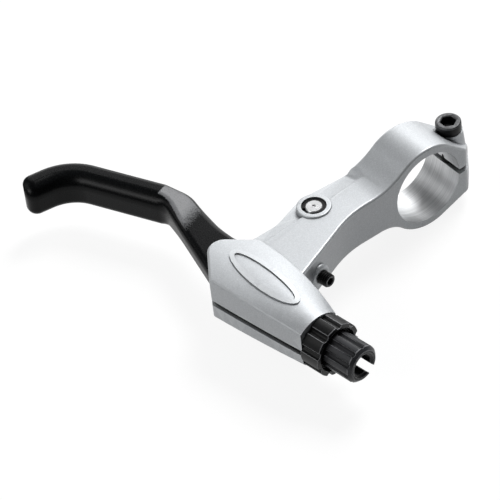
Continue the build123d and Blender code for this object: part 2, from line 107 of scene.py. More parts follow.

# Spans of a pattern, a facing or an open sky over which a finish, a painted shade or a painted reflection goes
# from none to full, or back
FLAKES_SHOW = {"From Min": 0.35, "From Max": 1.0}
# Painted shade in inner corners, where near walls shut a point in
CORNER_SHADE = {"From Min": 0.35, "From Max": 0.80, "To Min": 0.7, "To Max": 0.0}
# Painted shade inside the pocket and the cable slot
HOLLOW_SHADE = {"From Min": 0.26, "From Max": 0.52, "To Min": 1.0, "To Max": 0.0}
# Painted shade in the grooves of the mouldings
GROOVE_SHADE = {"From Min": 0.45, "From Max": 0.90, "To Min": 1.0, "To Max": 0.0}
DUST_SHOWS = {"From Min": 0.5, "From Max": 0.8}
# Painted reflection on the blade's nearly level ramp faces, and how it shows through the grain
LEVEL_FACES = {"From Min": 0.82, "From Max": 0.92}
REFLECTION_SHOWS = {"From Min": 0.75, "From Max": 1.45}

# Rays that look for open sky from each point
SKY_SAMPLES = 8

# Reliefs: how strongly a pattern lifts its surface, and how high
CAST_RELIEF = {"Strength": 0.12, "Distance": 0.05 * MM}
BORED_RELIEF = {"Strength": 0.3, "Distance": 0.03 * MM}
COATED_RELIEF = {"Strength": 0.3, "Distance": 0.04 * MM}
TURNED_RELIEF = {"Strength": 0.2, "Distance": 0.02 * MM}
MOULDED_RELIEF = {"Strength": 0.15, "Distance": 0.03 * MM}

# How far a pattern takes the roughness below and above its middle value
CAST_VARIES = 0.06
COATED_VARIES = 0.07
OXIDE_VARIES = 0.08
MOULDED_VARIES = 0.08

# Grains across a patch of the paler edge colour on the lacquer, worn with a painted highlight, and the mould
# texture's dark as a share of its colour
PATCH_GRAINS = 4
MOULD_DARK = 0.8

# Distance between the rings of Blender's wave texture at a scale of 1
WAVE_LENGTH = tau / 20

# Softboxes: place, then width and height, in metres
SOFTBOXES = {
    "top": ((-0.22, 0.45, 0.72), (0.34, 0.34)),
    "back": ((-0.72, 0.62, 0.36), (1.1, 0.7)),
    "front": ((-0.05, -0.92, 0.60), (0.44, 0.32)),
    "side": ((-0.6, -0.62, 0.55), (0.5, 0.5)),
}
FLOOR_SIDES = 96


def linear(code):
    """An sRGB hex colour as linear red, green, blue and alpha."""
    channels = [int(code[i : i + 2], 16) / 255 for i in (0, 2, 4)]
    return [c / 12.92 if c <= 0.04045 else ((c + 0.055) / 1.055) ** 2.4 for c in channels] + [1.0]


def length(label, note, millimetres):
    """A property that holds a real length."""
    return FloatProperty(
        name=label, description=note, default=millimetres * MM, min=0.0, subtype="DISTANCE", unit="LENGTH"
    )


def colour(label, note, code):
    """A property that holds a linear colour, written as sRGB hex."""
    return FloatVectorProperty(
        name=label, description=note, default=linear(code), size=4, min=0.0, max=1.0, subtype="COLOR"
    )


def share(label, note, value):
    """A property that holds a number from 0 to 1."""
    return FloatProperty(name=label, description=note, default=value, min=0.0, max=1.0, subtype="FACTOR")


def angle(label, note, degrees):
    """A property that holds an angle."""
    return FloatProperty(
        name=label, description=note, default=radians(degrees), subtype="ANGLE", unit="ROTATION"
    )


def lamp(label, note, watts):
    """A property that holds a lamp's power."""
    return FloatProperty(name=label, description=note, default=watts, min=0.0, unit="POWER")


class CastingSettings(bpy.types.PropertyGroup):
    """Sizes and colours of the cast body."""

    silver: colour("Silver", "Lacquer on the casting", "B7BABD")
    flake: colour("Flake", "Bright flakes in the lacquer", "CACDD0")
    # Paler edge colour of the lacquer: worn thin, and a painted highlight along the rounded edges
    worn: colour("Worn edge", "Lacquer rubbed thin on the edges", "CED1D3")
    # Painted shade darkening the inner corners
    corner_shade: colour("Corner dirt", "Dirt held in the inner corners", "6E7173")
    # Painted shade that fills the pocket and the cable slot
    hollow: colour("Hollow", "Bare dark casting inside the pocket and the cable slot", "17181A")
    machined: colour("Machined", "Bare metal on the wall of the bore", "E6E7E8")
    tool_mark: colour("Tool mark", "Duller streaks that the boring tool leaves", "A4A6A8")
    gloss_spread: share("Roughness", "Roughness of the lacquer", 0.42)
    metal_share: share("Metal", "How much of the light the flakes return as metal", 0.36)
    bored_spread: share("Bore roughness", "Roughness of the bored wall", 0.42)
    bored_metal: share("Bore metal", "How much of the light the bored wall returns as metal", 0.85)
    grain: length("Grain", "Size of the cast grain", 0.35)
    flake_size: length("Flake size", "Size of a flake, drawn coarse enough to show", 0.18)
    # Roundings up to this radius take the paler edge colour, worn and as a painted highlight
    edge_radius: length("Edge radius", "Largest rounding that is rubbed bright", 2.4)
    # How far the painted shade reaches from an inner corner
    corner_reach: length("Corner reach", "How far dirt spreads from an inner corner", 0.9)
    hollow_reach: length("Hollow reach", "How near the walls of a hollow stand to each other", 14.0)
    tool_pitch: length("Tool marks", "Distance between the boring tool's marks", 0.35)
    tool_streak: length("Tool streak", "Length of a mark around the bore", 16.667)


class BladeSettings(bpy.types.PropertyGroup):
    """Sizes and colours of the blade."""

    black: colour("Black", "Coating on the blade", "0B0C0D")
    dust: colour("Dust", "Paler grain in the coating", "191B1C")
    # Grey painted reflection of the lights on the ramp of the elbow
    thin: colour("Thin coat", "Coating worn grey on the ramp of the elbow", "828385")
    gloss_spread: share("Roughness", "Roughness of the coating", 0.28)
    gloss_level: share("Gloss", "Specular level of the coating", 0.12)
    grain: length("Grain", "Size of the coating's grain", 0.40)
    swell: angle("Swell", "How far the bar's sides lean in their shading, at the top", 54.0)
    # Length of the painted reflection along the ramp, and of its fade
    reflection_length: length("Thin length", "Length of the ramp that is worn", 10.0)
    reflection_fade: length("Thin fade", "Length past that where the wear thins out", 5.5)


class HardwareSettings(bpy.types.PropertyGroup):
    """Sizes and colours of the steel pieces and the mouldings."""

    steel: colour("Steel", "Turned pin", "D3D4D5")
    steel_mark: colour("Turning mark", "Duller rings that the lathe leaves", "B4B5B6")
    steel_spread: share("Steel roughness", "Roughness of the pin", 0.30)
    steel_metal: share("Steel metal", "How much of the light the pin returns as metal", 0.75)
    turning_pitch: length("Turning marks", "Distance between the lathe's marks on the pin", 0.22)
    oxide: colour("Oxide", "Black oxide on the screws and the clip", "131314")
    # Paler edge colour of the oxide: worn, and a painted highlight
    worn_and_highlit: colour("Rubbed oxide", "Oxide rubbed grey on the edges", "838486")
    oxide_spread: share("Oxide roughness", "Roughness of the oxide", 0.36)
    oxide_metal: share("Oxide metal", "How much of the light the oxide returns as metal", 0.20)
    oxide_gloss: share("Oxide gloss", "Specular level of the oxide", 0.20)
    # Patches that break up the worn, highlit edges and vary the roughness
    oxide_patch: length("Oxide patch", "Size of a rubbed patch on the oxide", 0.80)
    nylon: colour("Nylon", "Moulded lock ring", "0F1011")
    worn_nylon: colour("Worn nylon", "Moulded adjuster, dulled by handling", "3C3D40")
    # Paler colour on the rounded edges of the mouldings: worn, and a painted highlight
    worn_and_highlit_nylon: colour("Rubbed nylon", "Edges of the mouldings rubbed pale", "9A9B9E")
    # Painted shade darkening the grooves of the mouldings
    groove_shade: colour("Grime", "Dark dirt held in the grooves of the mouldings", "09090A")
    polymer: colour("Bushing", "Plain bushings", "3A3B3C")
    nylon_spread: share("Nylon roughness", "Roughness of the mouldings", 0.38)
    nylon_gloss: share("Nylon gloss", "Specular level of the mouldings", 0.25)
    nylon_index: FloatProperty(name="Nylon IOR", description="Refraction of nylon", default=1.53, min=1.0)
    nylon_edge: length("Moulded edge", "Rounded edge of the adjuster and its ring", 0.17)
    nylon_grain: length("Moulded grain", "Size of the moulded texture", 0.30)
    # How far the painted shade reaches in a groove
    groove_reach: length("Groove reach", "How far dirt spreads in a groove", 1.2)


class ThreadSettings(bpy.types.PropertyGroup):
    """Threads and sockets of the two screws."""

    reach_pitch: length("Reach pitch", "Pitch of the reach screw's thread", 0.70)
    reach_depth: length("Reach depth", "Depth of the reach screw's thread", 0.34)
    reach_flats: length("Reach socket", "Width of the reach screw's socket across flats", 2.0)
    reach_socket: length("Reach socket depth", "Depth of the reach screw's socket", 2.0)
    bolt_pitch: length("Bolt pitch", "Pitch of the clamp bolt's thread", 0.80)
    bolt_depth: length("Bolt depth", "Depth of the clamp bolt's thread", 0.40)
    bolt_radius: length("Bolt radius", "Crest radius of the clamp bolt's thread", 2.5)
    bolt_flats: length("Bolt socket", "Width of the clamp bolt's socket across flats", 4.0)
    bolt_socket: length("Bolt socket depth", "Depth of the clamp bolt's socket", 2.2)
    bolt_head: length("Bolt head", "Height of the clamp bolt's head", 3.05)
    bolt_edge: length("Bolt head edge", "Rounded edge of the clamp bolt's head", 0.5)
    bolt_mouth: length("Socket mouth", "Chamfer of the bolt's socket, and twice the reach screw's", 0.25)
    around: IntProperty(name="Around", description="Points around a thread", default=49, min=13)
    turn_steps: IntProperty(name="Steps per turn", description="Points along one pitch", default=12, min=4)


class StageSettings(bpy.types.PropertyGroup):
    """Camera, floor and lights."""

    azimuth: angle("Azimuth", "Direction of the camera, from straight ahead", 57.38)
    elevation: angle("Elevation", "Height of the camera above the horizon", 42.49)
    roll: angle("Roll", "Turn of the camera about its own line of sight", -7.24)
    distance: length("Distance", "From the camera to the point it aims at", 900.0)
    aim: FloatVectorProperty(
        name="Aim",
        description="Point that the camera looks at",
        default=(-17.05 * MM, -45.42 * MM, -11.05 * MM),
        subtype="TRANSLATION",
        unit="LENGTH",
    )
    lens: FloatProperty(name="Lens", description="Focal length", default=232.6, min=1.0, unit="CAMERA")
    floor: colour("Floor", "Floor colour under its own white glow", "707070")
    floor_glow: share("Floor glow", "White that the floor adds where it is seen", 0.88)
    floor_bounce: colour("Floor bounce", "Floor as it lights the object", "2C2C2C")
    floor_radius: length("Floor radius", "Radius of the floor", 4000.0)
    floor_gap: length("Floor gap", "Room between the object and the floor", 0.2)
    top: lamp("Top", "Soft light above and behind", 6.1)
    back: lamp("Back", "Broad low light from behind on the left", 5.2)
    front: lamp("Front", "Soft light ahead", 2.5)
    side: lamp("Side", "Soft light ahead on the left", 0.9)
    sky: share("Sky", "Strength of the plain sky", 0.08)
    sky_tint: colour("Sky tint", "Colour of the plain sky", "F2F4F6")


SETTINGS = {
    "lever_casting": CastingSettings,
    "lever_blade": BladeSettings,
    "lever_hardware": HardwareSettings,
    "lever_threads": ThreadSettings,
    "lever_stage": StageSettings,
}


def add_node(tree, kind, inputs=(), **settings):
    """One node with its settings; inputs maps a socket to its value or to the output that feeds it."""
    node = tree.nodes.new(kind)
    for key, value in settings.items():
        setattr(node, key, value)
    for key, value in dict(inputs).items():
        if isinstance(value, bpy.types.NodeSocket):
            tree.links.new(value, node.inputs[key])
        else:
            node.inputs[key].default_value = value
    return node


def new_material(name):
    """An empty material, its tree, its object coordinates and its shader."""
    material = bpy.data.materials.new(name)
    material.use_nodes = True
    tree = material.node_tree
    tree.nodes.clear()
    place = add_node(tree, "ShaderNodeTexCoord").outputs["Object"]
    shader = add_node(tree, "ShaderNodeBsdfPrincipled")
    add_node(tree, "ShaderNodeOutputMaterial", {"Surface": shader.outputs["BSDF"]})
    return material, tree, place, shader


def tint_worn_and_highlit_edges(tree, shade, patches, worn):
    """A colour that turns to the edge colour, in patches, on faces marked as an outside rounding: worn paler
    there, and a painted highlight along the edge.
    """
    edge = add_node(tree, "ShaderNodeAttribute", attribute_name="rubbed_edge")
    rub = add_node(tree, "ShaderNodeMath", {0: edge.outputs["Fac"], 1: patches}, operation="MULTIPLY")
    mix = {"Factor": rub.outputs["Value"], "A": shade, "B": worn}
    return add_node(tree, "ShaderNodeMix", mix, data_type="RGBA").outputs["Result"]


def shade_hollows(tree, shade, reach, painted_shade, span):
    """A colour that turns to a painted shade where walls within reach shut the surface in."""
    sky = add_node(tree, "ShaderNodeAmbientOcclusion", {"Distance": reach}, samples=SKY_SAMPLES)
    amount = add_node(tree, "ShaderNodeMapRange", {"Value": sky.outputs["AO"], **span})
    mix = {"Factor": amount.outputs["Result"], "A": shade, "B": painted_shade}
    return add_node(tree, "ShaderNodeMix", mix, data_type="RGBA").outputs["Result"]


def roughen(tree, shader, pattern, relief, spread, varies):
    """Lets a pattern lift the surface and take its roughness below and above a middle value."""
    lifted = add_node(tree, "ShaderNodeBump", {"Height": pattern, **relief})
    tree.links.new(lifted.outputs["Normal"], shader.inputs["Normal"])
    limits = {"To Min": spread - varies, "To Max": spread + varies}
    gloss = add_node(tree, "ShaderNodeMapRange", {"Value": pattern, **limits})
    tree.links.new(gloss.outputs["Result"], shader.inputs["Roughness"])


def silver_lacquer(settings):
    """Silver lacquer over cast aluminium: pale, softly glossy, with flakes and grain, edges paler where worn and
    with a painted highlight, and painted shade in corners, the pocket and the slot.
    """
    material, tree, place, shader = new_material("silver_lacquered_cast_aluminium")
    cells = {"Vector": place, "Scale": 1 / settings.flake_size}
    flakes = add_node(tree, "ShaderNodeTexVoronoi", cells, feature="F1")
    bright = add_node(tree, "ShaderNodeMapRange", {"Value": flakes.outputs["Color"], **FLAKES_SHOW})
    mix = {"Factor": bright.outputs["Result"], "A": settings.silver, "B": settings.flake}
    shade = add_node(tree, "ShaderNodeMix", mix, data_type="RGBA").outputs["Result"]
    blotches = {"Vector": place, "Scale": 1 / (PATCH_GRAINS * settings.grain), "Detail": 3.0}
    patches = add_node(tree, "ShaderNodeTexNoise", blotches).outputs["Fac"]
    # Paler rounded edges: worn lacquer and a painted highlight
    shade = tint_worn_and_highlit_edges(tree, shade, patches, settings.worn)
    # Painted shade: darker in inner corners, and dark inside the pocket and the cable slot
    shade = shade_hollows(tree, shade, settings.corner_reach, settings.corner_shade, CORNER_SHADE)
    shade = shade_hollows(tree, shade, settings.hollow_reach, settings.hollow, HOLLOW_SHADE)
    tree.links.new(shade, shader.inputs["Base Color"])
    grains = {"Vector": place, "Scale": 1 / settings.grain, "Detail": 2.0}
    grain = add_node(tree, "ShaderNodeTexNoise", grains).outputs["Fac"]
    roughen(tree, shader, grain, CAST_RELIEF, settings.gloss_spread, CAST_VARIES)
    shader.inputs["Metallic"].default_value = settings.metal_share
    return material


def machined_aluminium(settings):
    """Bored aluminium: bare grey metal with fine marks around the bore from the tool."""
    material, tree, place, shader = new_material("machined_aluminium")
    around = 1 / settings.tool_streak
    marked = {"Vector": place, "Scale": (1 / settings.tool_pitch, around, around)}
    stretch = add_node(tree, "ShaderNodeMapping", marked).outputs["Vector"]
    streaks = {"Vector": stretch, "Scale": 1.0, "Detail": 3.0}
    marks = add_node(tree, "ShaderNodeTexNoise", streaks).outputs["Fac"]
    mix = {"Factor": marks, "A": settings.tool_mark, "B": settings.machined}
    tone = add_node(tree, "ShaderNodeMix", mix, data_type="RGBA")
    tree.links.new(tone.outputs["Result"], shader.inputs["Base Color"])
    lifted = add_node(tree, "ShaderNodeBump", {"Height": marks, **BORED_RELIEF})
    tree.links.new(lifted.outputs["Normal"], shader.inputs["Normal"])
    shader.inputs["Metallic"].default_value = settings.bored_metal
    shader.inputs["Roughness"].default_value = settings.bored_spread
    return material


def black_coating(settings, along, crest, half):
    """Satin black coating on forged aluminium: near black with a fine grain, and a painted grey reflection on the
    ramp of the elbow.
    """
    material, tree, place, shader = new_material("satin_black_coated_aluminium")
    grains = {"Vector": place, "Scale": 1 / settings.grain, "Detail": 3.0}
    grain = add_node(tree, "ShaderNodeTexNoise", grains).outputs["Fac"]
    speck = add_node(tree, "ShaderNodeMapRange", {"Value": grain, **DUST_SHOWS})
    mix = {"Factor": speck.outputs["Result"], "A": settings.black, "B": settings.dust}
    tone = add_node(tree, "ShaderNodeMix", mix, data_type="RGBA").outputs["Result"]

    # Painted reflection: nearly level faces past the crest turn grey, fading out in specks along the ramp
    facing = add_node(tree, "ShaderNodeTexCoord").outputs["Normal"]
    upright = add_node(tree, "ShaderNodeVectorMath", {0: facing, 1: UP}, operation="DOT_PRODUCT")
    level = add_node(tree, "ShaderNodeMath", {0: upright.outputs["Value"]}, operation="ABSOLUTE")
    run = add_node(tree, "ShaderNodeVectorMath", {0: place, 1: along}, operation="DOT_PRODUCT")
    reflection_end = crest + settings.reflection_length
    spans = (
        (level, LEVEL_FACES),
        (run, {"From Min": crest, "From Max": crest + settings.grain}),
        (run, {"From Min": reflection_end + settings.reflection_fade, "From Max": reflection_end}),
    )
    reflection_mask = 1.0
    for measure, span in spans:
        part = add_node(tree, "ShaderNodeMapRange", {"Value": measure.outputs["Value"], **span})
        terms = {0: reflection_mask, 1: part.outputs["Result"]}
        reflection_mask = add_node(tree, "ShaderNodeMath", terms, operation="MULTIPLY").outputs["Value"]
    mottled = add_node(tree, "ShaderNodeMath", {0: reflection_mask, 1: grain}, operation="ADD")
    thin = add_node(tree, "ShaderNodeMapRange", {"Value": mottled.outputs["Value"], **REFLECTION_SHOWS})
    mix = {"Factor": thin.outputs["Result"], "A": tone, "B": settings.thin}
    coat = add_node(tree, "ShaderNodeMix", mix, data_type="RGBA")
    tree.links.new(coat.outputs["Result"], shader.inputs["Base Color"])

    # Upper half of the bar's sides, shaded as a rounder bar's; the lean fades out along the ramp
    above = add_node(tree, "ShaderNodeVectorMath", {0: place, 1: UP / half}, operation="DOT_PRODUCT")
    lift = add_node(tree, "ShaderNodeMath", {0: above.outputs["Value"], 1: 0.0}, operation="MAXIMUM")
    steep = add_node(tree, "ShaderNodeMath", {0: 1.0, 1: level.outputs["Value"]}, operation="SUBTRACT")
    lean = {"From Min": reflection_end, "From Max": crest, "To Max": tan(settings.swell)}
    bar = add_node(tree, "ShaderNodeMapRange", {"Value": run.outputs["Value"], **lean})
    for part in (steep.outputs["Value"], bar.outputs["Result"]):
        terms = {0: lift.outputs["Value"], 1: part}
        lift = add_node(tree, "ShaderNodeMath", terms, operation="MULTIPLY")
    raised = add_node(tree, "ShaderNodeCombineXYZ", {"Z": lift.outputs["Value"]}).outputs["Vector"]
    leaning = add_node(tree, "ShaderNodeVectorMath", {0: facing, 1: raised}, operation="ADD")
    rounder = add_node(
        tree,
        "ShaderNodeVectorTransform",
        {"Vector": leaning.outputs["Vector"]},
        vector_type="NORMAL",
        convert_from="OBJECT",
        convert_to="WORLD",
    )
    relief = {**COATED_RELIEF, "Normal": rounder.outputs["Vector"]}
    roughen(tree, shader, grain, relief, settings.gloss_spread, COATED_VARIES)
    shader.inputs["Specular IOR Level"].default_value = settings.gloss_level
    return material


def black_oxide(settings):
    """Black oxide on steel: dark, faintly metallic, grey where an edge stands out, worn there and with a painted
    highlight.
    """
    material, tree, place, shader = new_material("black_oxide_steel")
    blotches = {"Vector": place, "Scale": 1 / settings.oxide_patch, "Detail": 2.0}
    patches = add_node(tree, "ShaderNodeTexNoise", blotches).outputs["Fac"]
    shade = tint_worn_and_highlit_edges(tree, settings.oxide, patches, settings.worn_and_highlit)
    tree.links.new(shade, shader.inputs["Base Color"])
    spread = settings.oxide_spread
    limits = {"To Min": spread - OXIDE_VARIES, "To Max": spread + OXIDE_VARIES}
    gloss = add_node(tree, "ShaderNodeMapRange", {"Value": patches, **limits})
    tree.links.new(gloss.outputs["Result"], shader.inputs["Roughness"])
    shader.inputs["Metallic"].default_value = settings.oxide_metal
    shader.inputs["Specular IOR Level"].default_value = settings.oxide_gloss
    return material


def turned_steel(settings, centre):
    """Turned steel: bright, with fine rings around the pin's axis."""
    material, tree, place, shader = new_material("turned_bright_steel")
    middle = add_node(tree, "ShaderNodeMapping", {"Vector": place, "Location": -centre}).outputs["Vector"]
    waves = {"Vector": middle, "Scale": WAVE_LENGTH / settings.turning_pitch, "Distortion": 0.0}
    rings = add_node(tree, "ShaderNodeTexWave", waves, wave_type="RINGS", rings_direction="Z")
    mix = {"Factor": rings.outputs["Fac"], "A": settings.steel_mark, "B": settings.steel}
    tone = add_node(tree, "ShaderNodeMix", mix, data_type="RGBA")
    tree.links.new(tone.outputs["Result"], shader.inputs["Base Color"])
    lifted = add_node(tree, "ShaderNodeBump", {"Height": rings.outputs["Fac"], **TURNED_RELIEF})
    tree.links.new(lifted.outputs["Normal"], shader.inputs["Normal"])
    shader.inputs["Metallic"].default_value = settings.steel_metal
    shader.inputs["Roughness"].default_value = settings.steel_spread
    return material


def moulded_nylon(name, tint, settings):
    """Moulded nylon: dark and satin, with the fine texture of the mould and a painted shade in its grooves."""
    material, tree, place, shader = new_material(name)
    grains = {"Vector": place, "Scale": 1 / settings.nylon_grain, "Detail": 2.0}
    grain = add_node(tree, "ShaderNodeTexNoise", grains).outputs["Fac"]
    dark = [MOULD_DARK * channel for channel in tint[:3]] + [1.0]
    mix = {"Factor": grain, "A": dark, "B": tint}
    shade = add_node(tree, "ShaderNodeMix", mix, data_type="RGBA").outputs["Result"]
    # Painted shade in the grooves
    shade = shade_hollows(tree, shade, settings.groove_reach, settings.groove_shade, GROOVE_SHADE)
    tree.links.new(shade, shader.inputs["Base Color"])
    roughen(tree, shader, grain, MOULDED_RELIEF, settings.nylon_spread, MOULDED_VARIES)
    shader.inputs["IOR"].default_value = settings.nylon_index
    shader.inputs["Specular IOR Level"].default_value = settings.nylon_gloss
    return material


def keep_piece(name, mesh, body, node):
    """A finished piece at the origin that stands for its CAD node and moves with its body."""
    piece = bpy.data.objects.new(name, mesh)
    bpy.context.scene.collection.objects.link(piece)
    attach(piece, body)
    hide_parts(node)
    return piece


def merged_mesh(node, name):
    """A merged copy of a CAD node's mesh, as a bmesh to work on and a mesh to keep it in."""
    mesh = frame["nodes"][node].data.copy()
    mesh.name = name
    mesh.materials.clear()
    if "custom_normal" in mesh.attributes:
        mesh.attributes.remove(mesh.attributes["custom_normal"])
    work = bmesh.new()
    work.from_mesh(mesh)
    bmesh.ops.remove_doubles(work, verts=work.verts, dist=MERGE)
    return work, mesh


def store(work, mesh, materials, crease):
    """Writes a bmesh back, smooth apart from edges sharper than the crease angle."""
    work.to_mesh(mesh)
    work.free()
    for material in materials:
        mesh.materials.append(material)
    mesh.shade_smooth()
    mesh.set_sharp_from_angle(angle=crease)
    mesh.update()


def even_shading(piece):
    """Lets large flat faces keep their own normals where they meet a rounding."""
    weighted = piece.modifiers.new("even shading", "WEIGHTED_NORMAL")
    weighted.mode = "FACE_AREA"
    weighted.weight = FACE_WEIGHT
    weighted.keep_sharp = True


def mark_worn_and_highlit_edges(work, widest):
    """Gives each face a 1 where it is part of an outside rounding up to a radius, and a 0 elsewhere; the 1s are
    worn paler and take a painted highlight.
    """
    layer = work.faces.layers.float.new("rubbed_edge")
    for edge in work.edges:
        bend = edge.calc_face_angle_signed(0.0)
        if bend > SMALLEST_BEND:
            span = sum(face.calc_area() for face in edge.link_faces) / edge.calc_length()
            if span / bend < widest:
                for face in edge.link_faces:
                    face[layer] = 1.0


def bore_faces(work, radius, reach):
    """Faces on the wall of the handlebar bore, up to a reach to either side of its middle."""
    found = []
    for face in work.faces:
        middle = face.calc_center_median()
        off_wall = abs(Vector((middle.y, middle.z)).length - radius)
        if off_wall < BORE_TOLERANCE and abs(middle.x) < reach:
            found.append(face)
    return found


def ramp_direction(work):
    """Level direction that the ramps of the blade face, from the faces tilted like them."""
    total = Vector()
    for face in work.faces:
        if RAMP_TILT[0] < face.normal.angle(UP) < RAMP_TILT[1]:
            total += face.normal * face.calc_area()
    return Vector((total.x, total.y, 0.0)).normalized()


def ramp_crest(work, along):
    """How far along a direction the bar's level top reaches before the ramp starts."""
    top = max(vert.co.z for vert in work.verts)
    return max(vert.co.dot(along) for vert in work.verts if vert.co.z > top - MERGE)


class LEVER_OT_body(bpy.types.Operator):
    """Cast body with lacquered outside and machined bore"""

    bl_idname = "lever.body"
    bl_label = "Cast body"

    def execute(self, context):
        settings = context.scene.lever_casting
        work, mesh = merged_mesh("lever_body", "body_casting")
        mark_worn_and_highlit_edges(work, settings.edge_radius)
        clamp = MOUNTS["handlebar_clamp"]["dims"]
        for face in bore_faces(work, clamp["r_mm"] * MM, clamp["length_mm"] * MM):
            face.material_index = 1
        store(work, mesh, [silver_lacquer(settings), machined_aluminium(settings)], CAST_CREASE)
        even_shading(keep_piece("body_casting", mesh, "body", "lever_body"))
        return {"FINISHED"}


class LEVER_OT_blade(bpy.types.Operator):
    """Blade with its satin black coating"""

    bl_idname = "lever.blade"
    bl_label = "Blade"

    def execute(self, context):
        settings = context.scene.lever_blade
        work, mesh = merged_mesh("lever_blade", "blade_forging")
        along = ramp_direction(work)
        coating = black_coating(settings, along, ramp_crest(work, along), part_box("lever_blade")[1].z)
        store(work, mesh, [coating], CAST_CREASE)
        even_shading(keep_piece("blade_forging", mesh, "blade", "lever_blade"))
        return {"FINISHED"}


class LEVER_OT_pivot(bpy.types.Operator):
    """Pivot pin, its clip and the two bushings"""

    bl_idname = "lever.pivot"
    bl_label = "Pivot"

    def execute(self, context):
        settings = context.scene.lever_hardware
        centre = Vector(JOINTS["blade_pivot"]["pos_m"])
        bushing = moulded_nylon("plain_bushing_polymer", settings.polymer, settings)
        finishes = {
            "pivot_pin": ("pin_turned", "body", "bright_steel", turned_steel(settings, centre)),
            "pivot_clip": ("clip_sprung", "body", "black_steel", black_oxide(settings)),
            "pivot_bushing_upper": ("bushing_upper", "blade", "bushing_polymer", bushing),
            "pivot_bushing_lower": ("bushing_lower", "blade", "bushing_polymer", bushing),
        }
        for node, (name, body, slot, material) in finishes.items():
            work, mesh = merged_mesh(node, name)
            store(work, mesh, [material], TURNED_CREASE)
            keep_piece(name, mesh, body, node)
        return {"FINISHED"}


def thread_tree():
    """Geometry nodes that wrap a grid into a threaded cylinder along X, down to its root at both ends."""
    tree = bpy.data.node_groups.new("screw_thread", "GeometryNodeTree")
    for label in ("Length", "Crest Radius", "Thread Depth", "Pitch"):
        tree.interface.new_socket(label, in_out="INPUT", socket_type="NodeSocketFloat")
    for label in ("Around", "Along"):
        tree.interface.new_socket(label, in_out="INPUT", socket_type="NodeSocketInt")
    tree.interface.new_socket("Material", in_out="INPUT", socket_type="NodeSocketMaterial")
    tree.interface.new_socket("Geometry", in_out="OUTPUT", socket_type="NodeSocketGeometry")
    sizes = add_node(tree, "NodeGroupInput").outputs
    points = {
        "Size X": sizes["Length"],
        "Size Y": 1.0,
        "Vertices X": sizes["Along"],
        "Vertices Y": sizes["Around"],
    }
    grid = add_node(tree, "GeometryNodeMeshGrid", points)
    spot = add_node(tree, "GeometryNodeInputPosition")
    parts = add_node(tree, "ShaderNodeSeparateXYZ", {0: spot.outputs[0]}).outputs

    # Each step names its result, the operation and the terms, which are earlier results or numbers
    values = {"X": parts["X"], "Y": parts["Y"], **{item.name: item for item in sizes if item.name}}
    steps = (
        ("pitches", "DIVIDE", "X", "Pitch"),
        ("turns", "ADD", "pitches", "Y"),
        ("within turn", "FRACT", "turns", 0.0),
        ("doubled", "MULTIPLY", "within turn", 2.0),
        ("centred", "SUBTRACT", "doubled", 1.0),
        ("climb", "ABSOLUTE", "centred", 0.0),
        ("past crest", "SUBTRACT", "climb", LEVEL_SHARE),
        ("flank", "DIVIDE", "past crest", 1 - 2 * LEVEL_SHARE),
        ("floored", "MAXIMUM", "flank", 0.0),
        ("steep", "MINIMUM", "floored", 1.0),
        ("cut", "MULTIPLY", "steep", "Thread Depth"),
        ("ridge", "SUBTRACT", "Crest Radius", "cut"),
        ("half", "MULTIPLY", "Length", 0.5),
        ("from middle", "ABSOLUTE", "X", 0.0),
        ("end room", "SUBTRACT", "half", "from middle"),
        ("short", "SUBTRACT", "Thread Depth", "end room"),
        ("pinch", "MAXIMUM", "short", 0.0),
        ("pinched", "SUBTRACT", "Crest Radius", "pinch"),
        ("radius", "MINIMUM", "ridge", "pinched"),
        ("swing", "MULTIPLY", "Y", -tau),
        ("cosine", "COSINE", "swing", 0.0),
        ("sine", "SINE", "swing", 0.0),
        ("across", "MULTIPLY", "radius", "cosine"),
        ("above", "MULTIPLY", "radius", "sine"),
    )
    for name, operation, *terms in steps:
        inputs = {i: values.get(term, term) for i, term in enumerate(terms)}
        node = add_node(tree, "ShaderNodeMath", inputs, operation=operation)
        values[name] = node.outputs["Value"]
    corner = {"X": values["X"], "Y": values["across"], "Z": values["above"]}
    wrapped = add_node(tree, "ShaderNodeCombineXYZ", corner).outputs["Vector"]
    moved = {"Geometry": grid.outputs["Mesh"], "Position": wrapped}
    skin = add_node(tree, "GeometryNodeSetPosition", moved).outputs["Geometry"]
    seam = {"Geometry": skin, "Distance": MERGE}
    closed = add_node(tree, "GeometryNodeMergeByDistance", seam).outputs["Geometry"]
    real = add_node(tree, "GeometryNodeRealizeInstances", {"Geometry": closed}).outputs["Geometry"]
    coat = {"Geometry": real, "Material": sizes["Material"]}
    dressed = add_node(tree, "GeometryNodeSetMaterial", coat).outputs["Geometry"]
    add_node(tree, "NodeGroupOutput", {"Geometry": dressed})
    return tree


def thread_mesh(name, sizes):
    """The threaded cylinder along X as a plain mesh; sizes maps each input of the nodes to its value."""
    tree = bpy.data.node_groups.get("screw_thread") or thread_tree()
    carrier = bpy.data.objects.new(name, bpy.data.meshes.new(name))
    bpy.context.scene.collection.objects.link(carrier)
    modifier = carrier.modifiers.new("thread", "NODES")
    modifier.node_group = tree
    named = {item.name: item.identifier for item in tree.interface.items_tree if item.in_out == "INPUT"}
    for label, value in sizes.items():
        modifier[named[label]] = value
    ready = carrier.evaluated_get(bpy.context.evaluated_depsgraph_get())
    mesh = bpy.data.meshes.new_from_object(ready)
    bpy.data.objects.remove(carrier)
    return mesh


def round_ring(around, radius):
    """Points of a circle in the YZ plane, in the order of the thread's grid."""
    swings = [(0.5 - i / (around - 1)) * tau for i in range(around - 1)]
    return [(radius * cos(s), radius * sin(s)) for s in swings]


def hexagon_ring(around, flats):
    """Points of a hexagon at the same directions as round_ring's."""
    points = []
    for y, z in round_ring(around, 1.0):
        swing = Vector((y, z)).angle_signed(Vector((1, 0)))
        off_flat = (swing + pi / 6) % (pi / 3) - pi / 6
        reach = flats / 2 / cos(off_flat)
        points.append((y * reach, z * reach))
    return points


